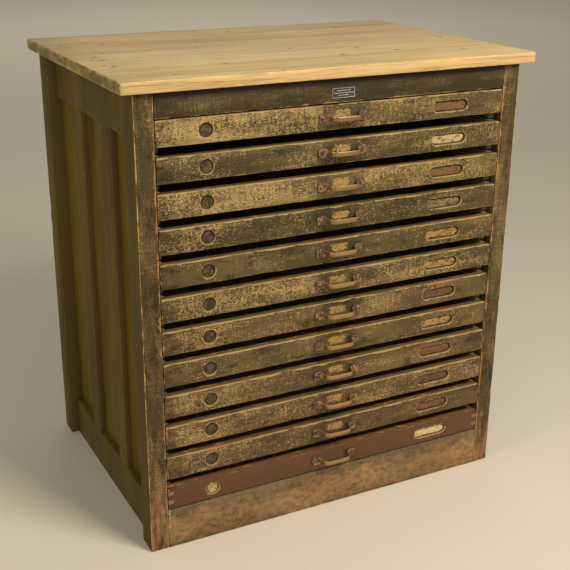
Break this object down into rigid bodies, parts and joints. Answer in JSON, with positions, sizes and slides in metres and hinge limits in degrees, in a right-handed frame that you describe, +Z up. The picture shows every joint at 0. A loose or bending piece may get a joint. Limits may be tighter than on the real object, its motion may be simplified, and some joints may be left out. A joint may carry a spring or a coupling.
{
  "type": "card catalog cabinet",
  "caption": "Low wide wooden cabinet of shallow full-width drawers in a framed carcass with recessed side panels, each drawer with a metal bow handle and a label recess.",
  "frame": {"origin": "on the floor, below the middle of the whole outline", "axes": "+X to the right seen from the front, +Y to the back, +Z up; the drawers open along -Y"},
  "size_m": [0.896, 0.636, 0.953],
  "materials": {
    "worn_pine_top": "worn varnish over plain softwood boards",
    "olive_frame_paint": "old olive-green paint, chipped to bare wood at its edges",
    "olive_side_paint": "smooth glossy olive-brown paint",
    "worn_drawer_paint": "olive-green paint worn through to pale wood",
    "bare_drawer_wood": "bare reddish-brown wood",
    "inner_wood": "unfinished softwood",
    "aged_handle_steel": "aged plated steel with rust"
  },
  "bodies": {
    "cabinet": {"top_board": "worn_pine_top", "front_left_post": "olive_frame_paint", "front_right_post": "olive_frame_paint", "rear_left_post": "olive_frame_paint", "rear_right_post": "olive_frame_paint", "front_top_rail": "olive_frame_paint", "front_bottom_rail": "olive_frame_paint", "left_side_top_rail": "olive_side_paint", "left_side_bottom_rail": "olive_side_paint", "left_side_panel_1": "olive_side_paint", "left_side_panel_2": "olive_side_paint", "left_side_panel_3": "olive_side_paint", "left_side_stile_1": "olive_side_paint", "left_side_stile_2": "olive_side_paint", "left_runner_rack": "inner_wood", "right_side_top_rail": "olive_side_paint", "right_side_bottom_rail": "olive_side_paint", "right_side_panel_1": "olive_side_paint", "right_side_panel_2": "olive_side_paint", "right_side_panel_3": "olive_side_paint", "right_side_stile_1": "olive_side_paint", "right_side_stile_2": "olive_side_paint", "right_runner_rack": "inner_wood", "back_panel": "inner_wood"},
    "drawer_01": {"drawer_front_01": "worn_drawer_paint", "drawer_tray_01": "inner_wood", "drawer_handle_01": "aged_handle_steel"},
    "drawer_02": {"drawer_front_02": "worn_drawer_paint", "drawer_tray_02": "inner_wood", "drawer_handle_02": "aged_handle_steel"},
    "drawer_03": {"drawer_front_03": "worn_drawer_paint", "drawer_tray_03": "inner_wood", "drawer_handle_03": "aged_handle_steel"},
    "drawer_04": {"drawer_front_04": "worn_drawer_paint", "drawer_tray_04": "inner_wood", "drawer_handle_04": "aged_handle_steel"},
    "drawer_05": {"drawer_front_05": "worn_drawer_paint", "drawer_tray_05": "inner_wood", "drawer_handle_05": "aged_handle_steel"},
    "drawer_06": {"drawer_front_06": "worn_drawer_paint", "drawer_tray_06": "inner_wood", "drawer_handle_06": "aged_handle_steel"},
    "drawer_07": {"drawer_front_07": "worn_drawer_paint", "drawer_tray_07": "inner_wood", "drawer_handle_07": "aged_handle_steel"},
    "drawer_08": {"drawer_front_08": "worn_drawer_paint", "drawer_tray_08": "inner_wood", "drawer_handle_08": "aged_handle_steel"},
    "drawer_09": {"drawer_front_09": "worn_drawer_paint", "drawer_tray_09": "inner_wood", "drawer_handle_09": "aged_handle_steel"},
    "drawer_10": {"drawer_front_10": "worn_drawer_paint", "drawer_tray_10": "inner_wood", "drawer_handle_10": "aged_handle_steel"},
    "drawer_11": {"drawer_front_11": "worn_drawer_paint", "drawer_tray_11": "inner_wood", "drawer_handle_11": "aged_handle_steel"},
    "drawer_12": {"drawer_front_12": "bare_drawer_wood", "drawer_tray_12": "inner_wood", "drawer_handle_12": "aged_handle_steel"}
  },
  "joints": [
    {"name": "drawer_01_slide", "type": "slide", "parent": "cabinet", "child": "drawer_01", "axis": [0, -1, 0], "range_m": [0, 0.45]},
    {"name": "drawer_02_slide", "type": "slide", "parent": "cabinet", "child": "drawer_02", "axis": [0, -1, 0], "range_m": [0, 0.45]},
    {"name": "drawer_03_slide", "type": "slide", "parent": "cabinet", "child": "drawer_03", "axis": [0, -1, 0], "range_m": [0, 0.45]},
    {"name": "drawer_04_slide", "type": "slide", "parent": "cabinet", "child": "drawer_04", "axis": [0, -1, 0], "range_m": [0, 0.45]},
    {"name": "drawer_05_slide", "type": "slide", "parent": "cabinet", "child": "drawer_05", "axis": [0, -1, 0], "range_m": [0, 0.45]},
    {"name": "drawer_06_slide", "type": "slide", "parent": "cabinet", "child": "drawer_06", "axis": [0, -1, 0], "range_m": [0, 0.45]},
    {"name": "drawer_07_slide", "type": "slide", "parent": "cabinet", "child": "drawer_07", "axis": [0, -1, 0], "range_m": [0, 0.45]},
    {"name": "drawer_08_slide", "type": "slide", "parent": "cabinet", "child": "drawer_08", "axis": [0, -1, 0], "range_m": [0, 0.45]},
    {"name": "drawer_09_slide", "type": "slide", "parent": "cabinet", "child": "drawer_09", "axis": [0, -1, 0], "range_m": [0, 0.45]},
    {"name": "drawer_10_slide", "type": "slide", "parent": "cabinet", "child": "drawer_10", "axis": [0, -1, 0], "range_m": [0, 0.45]},
    {"name": "drawer_11_slide", "type": "slide", "parent": "cabinet", "child": "drawer_11", "axis": [0, -1, 0], "range_m": [0, 0.45]},
    {"name": "drawer_12_slide", "type": "slide", "parent": "cabinet", "child": "drawer_12", "axis": [0, -1, 0], "range_m": [0, 0.45]}
  ]
}
